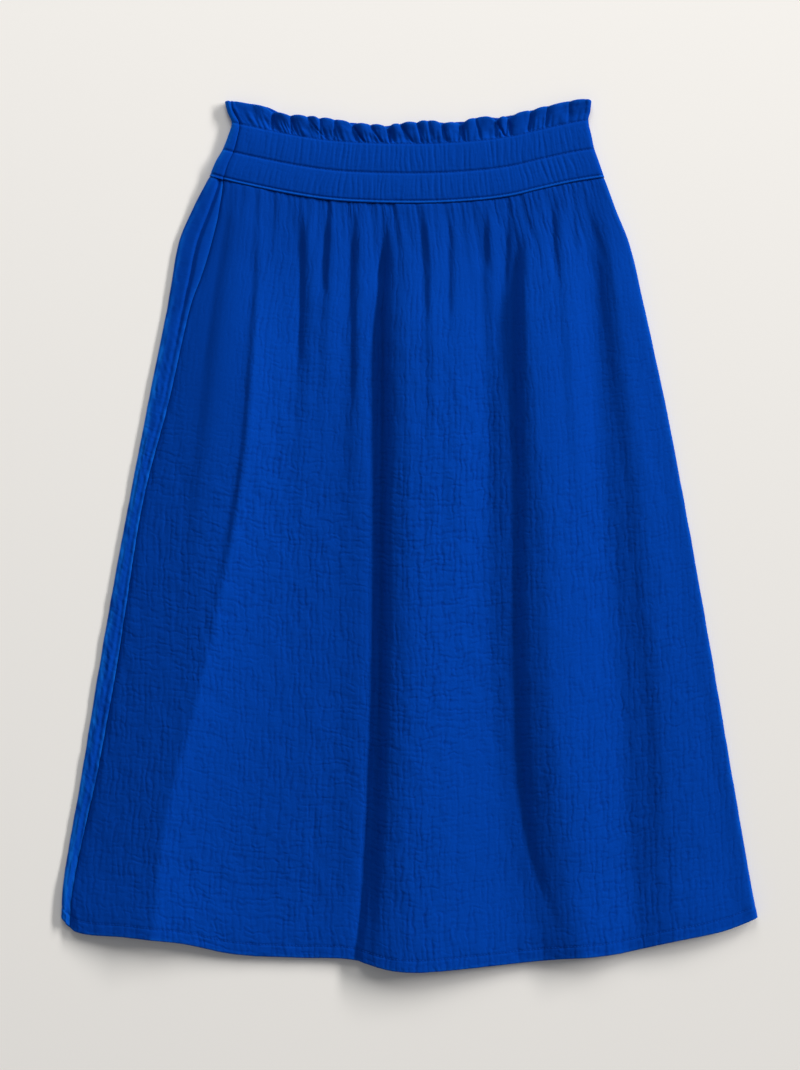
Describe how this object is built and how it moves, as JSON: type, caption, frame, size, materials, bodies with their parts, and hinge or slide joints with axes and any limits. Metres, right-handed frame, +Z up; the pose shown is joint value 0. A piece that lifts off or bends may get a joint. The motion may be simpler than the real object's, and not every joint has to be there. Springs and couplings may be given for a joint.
{
  "type": "gathered midi skirt, laid flat",
  "caption": "Gathered A-line skirt in blue double gauze with a ruffled elastic waistband, laid flat face up.",
  "frame": {"origin": "on the surface the skirt lies on, under the middle of its box", "axes": "+Z up, out of the skirt's front; +Y from the hem to the waist; +X to the right in the front view"},
  "size_m": [0.64, 0.8002, 0.017],
  "materials": {
    "panel_gauze": "matte crinkled double gauze cotton",
    "waistband_gauze": "matte crinkled double gauze cotton, puckered over elastic"
  },
  "bodies": {
    "root": {"front_panel": "panel_gauze", "back_panel": "panel_gauze", "waistband_front": "waistband_gauze", "waistband_back": "waistband_gauze"}
  },
  "joints": []
}
